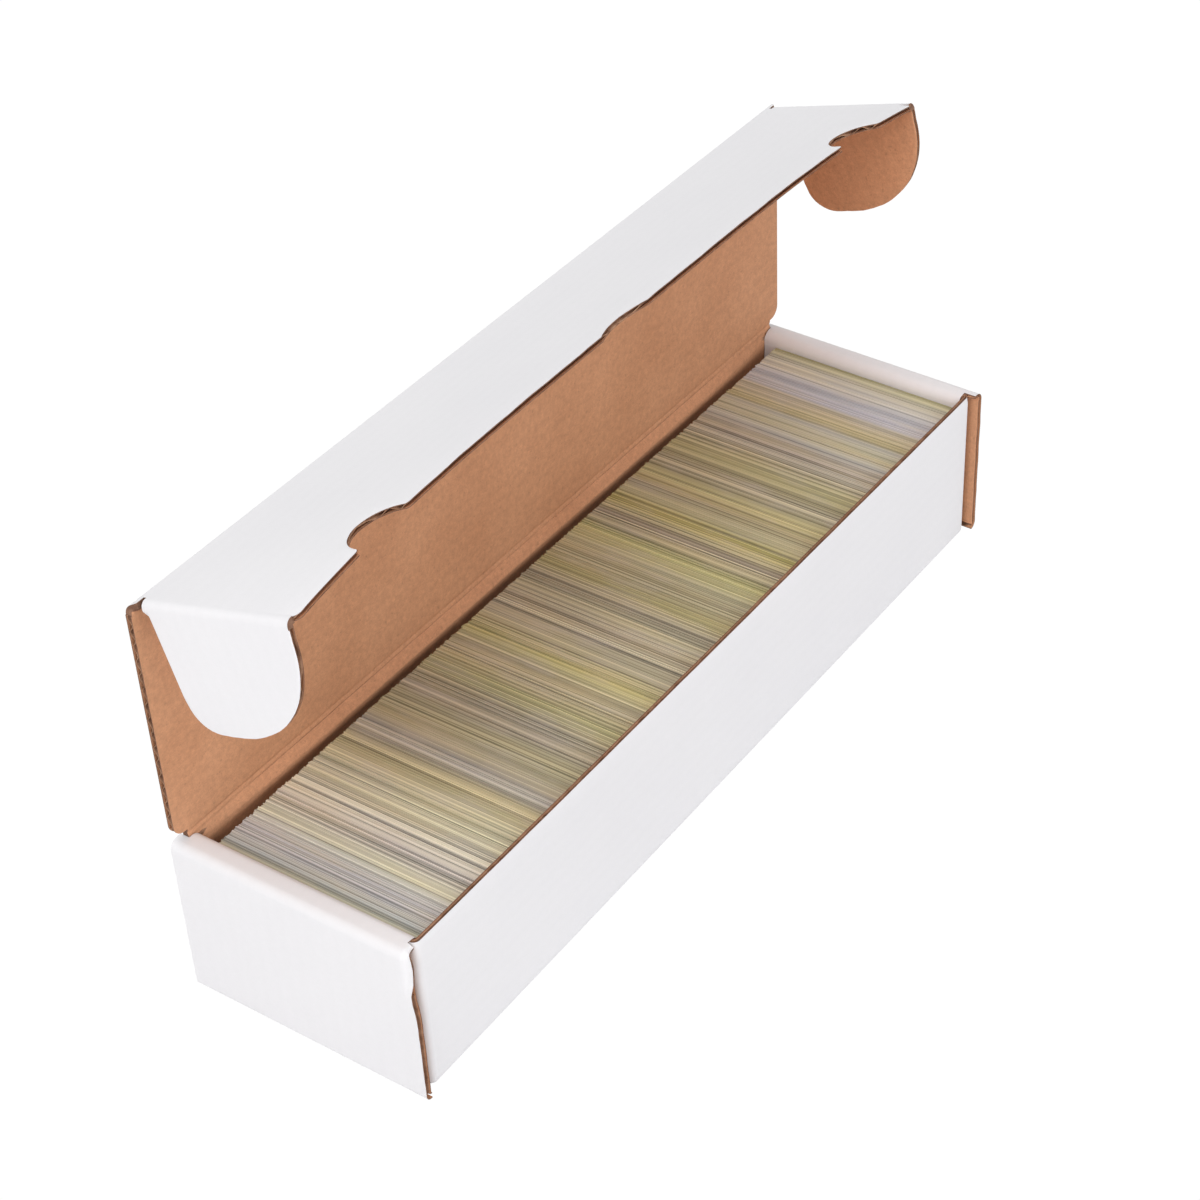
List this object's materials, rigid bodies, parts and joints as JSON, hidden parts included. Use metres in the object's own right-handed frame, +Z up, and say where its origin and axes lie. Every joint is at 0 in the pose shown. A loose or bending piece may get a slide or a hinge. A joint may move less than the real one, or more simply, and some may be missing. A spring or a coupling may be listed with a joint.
{
  "type": "card storage box",
  "caption": "Long corrugated box, full of standing cards: a lid hinged along the back carries a front flap whose ears fit slots in rolled-over end walls.",
  "frame": {"origin": "middle of the outside of the box at its underside, between the outermost faces of the end panels", "axes": "+X along the box, from left end to right end; the front wall faces -Y, the lid is hinged at +Y; +Z up"},
  "size_m": [0.3937, 0.105, 0.1968],
  "materials": {
    "white_board": "matte white liner outside, raw kraft inside",
    "kraft_board": "matte raw kraft",
    "cards": "packed edges of printed card"
  },
  "bodies": {
    "tray": {"bottom_panel": "kraft_board", "front_wall": "white_board", "back_wall": "white_board", "lid_crease": "white_board", "left_end_outer_panel": "white_board", "left_end_rolled_strip": "white_board", "left_end_inner_panel": "white_board", "left_front_dust_flap": "kraft_board", "left_back_dust_flap": "kraft_board", "right_end_outer_panel": "white_board", "right_end_rolled_strip": "white_board", "right_end_inner_panel": "white_board", "right_front_dust_flap": "kraft_board", "right_back_dust_flap": "kraft_board"},
    "lid": {"lid_panel": "white_board", "flap_crease": "white_board"},
    "flap": {"front_flap": "white_board", "left_ear_crease": "white_board", "right_ear_crease": "white_board"},
    "left_ear": {"left_ear": "white_board"},
    "right_ear": {"right_ear": "white_board"},
    "card_stack_01": {"card_stack_01": "cards"},
    "card_stack_02": {"card_stack_02": "cards"},
    "card_stack_03": {"card_stack_03": "cards"},
    "card_stack_04": {"card_stack_04": "cards"},
    "card_stack_05": {"card_stack_05": "cards"},
    "card_stack_06": {"card_stack_06": "cards"},
    "card_stack_07": {"card_stack_07": "cards"},
    "card_stack_08": {"card_stack_08": "cards"},
    "card_stack_09": {"card_stack_09": "cards"},
    "card_stack_10": {"card_stack_10": "cards"}
  },
  "joints": [
    {"name": "lid_hinge", "type": "hinge", "parent": "tray", "child": "lid", "pos_m": [0, 0.05, 0.0726], "axis": [-1, 0, 0], "range_deg": [-90, 90], "deforming": ["left_ear", "right_ear"]},
    {"name": "flap_hinge", "type": "hinge", "parent": "lid", "child": "flap", "pos_m": [0, 0.05, 0.1747], "axis": [-1, 0, 0], "range_deg": [-17, 73]},
    {"name": "left_ear_hinge", "type": "hinge", "parent": "flap", "child": "left_ear", "pos_m": [-0.1907, 0.05, 0.1747], "axis": [0, 0.9563, -0.2924], "range_deg": [0, 90]},
    {"name": "right_ear_hinge", "type": "hinge", "parent": "flap", "child": "right_ear", "pos_m": [0.1907, 0.05, 0.1747], "axis": [0, -0.9563, 0.2924], "range_deg": [-8, 82]},
    {"name": "card_stack_01_lift", "type": "slide", "parent": "tray", "child": "card_stack_01", "axis": [0, 0, 1], "range_m": [0, 0.1]},
    {"name": "card_stack_02_lift", "type": "slide", "parent": "tray", "child": "card_stack_02", "axis": [0, 0, 1], "range_m": [0, 0.1]},
    {"name": "card_stack_03_lift", "type": "slide", "parent": "tray", "child": "card_stack_03", "axis": [0, 0, 1], "range_m": [0, 0.1]},
    {"name": "card_stack_04_lift", "type": "slide", "parent": "tray", "child": "card_stack_04", "axis": [0, 0, 1], "range_m": [0, 0.1]},
    {"name": "card_stack_05_lift", "type": "slide", "parent": "tray", "child": "card_stack_05", "axis": [0, 0, 1], "range_m": [0, 0.1]},
    {"name": "card_stack_06_lift", "type": "slide", "parent": "tray", "child": "card_stack_06", "axis": [0, 0, 1], "range_m": [0, 0.1]},
    {"name": "card_stack_07_lift", "type": "slide", "parent": "tray", "child": "card_stack_07", "axis": [0, 0, 1], "range_m": [0, 0.1]},
    {"name": "card_stack_08_lift", "type": "slide", "parent": "tray", "child": "card_stack_08", "axis": [0, 0, 1], "range_m": [0, 0.1]},
    {"name": "card_stack_09_lift", "type": "slide", "parent": "tray", "child": "card_stack_09", "axis": [0, 0, 1], "range_m": [0, 0.1]},
    {"name": "card_stack_10_lift", "type": "slide", "parent": "tray", "child": "card_stack_10", "axis": [0, 0, 1], "range_m": [0, 0.1]}
  ]
}
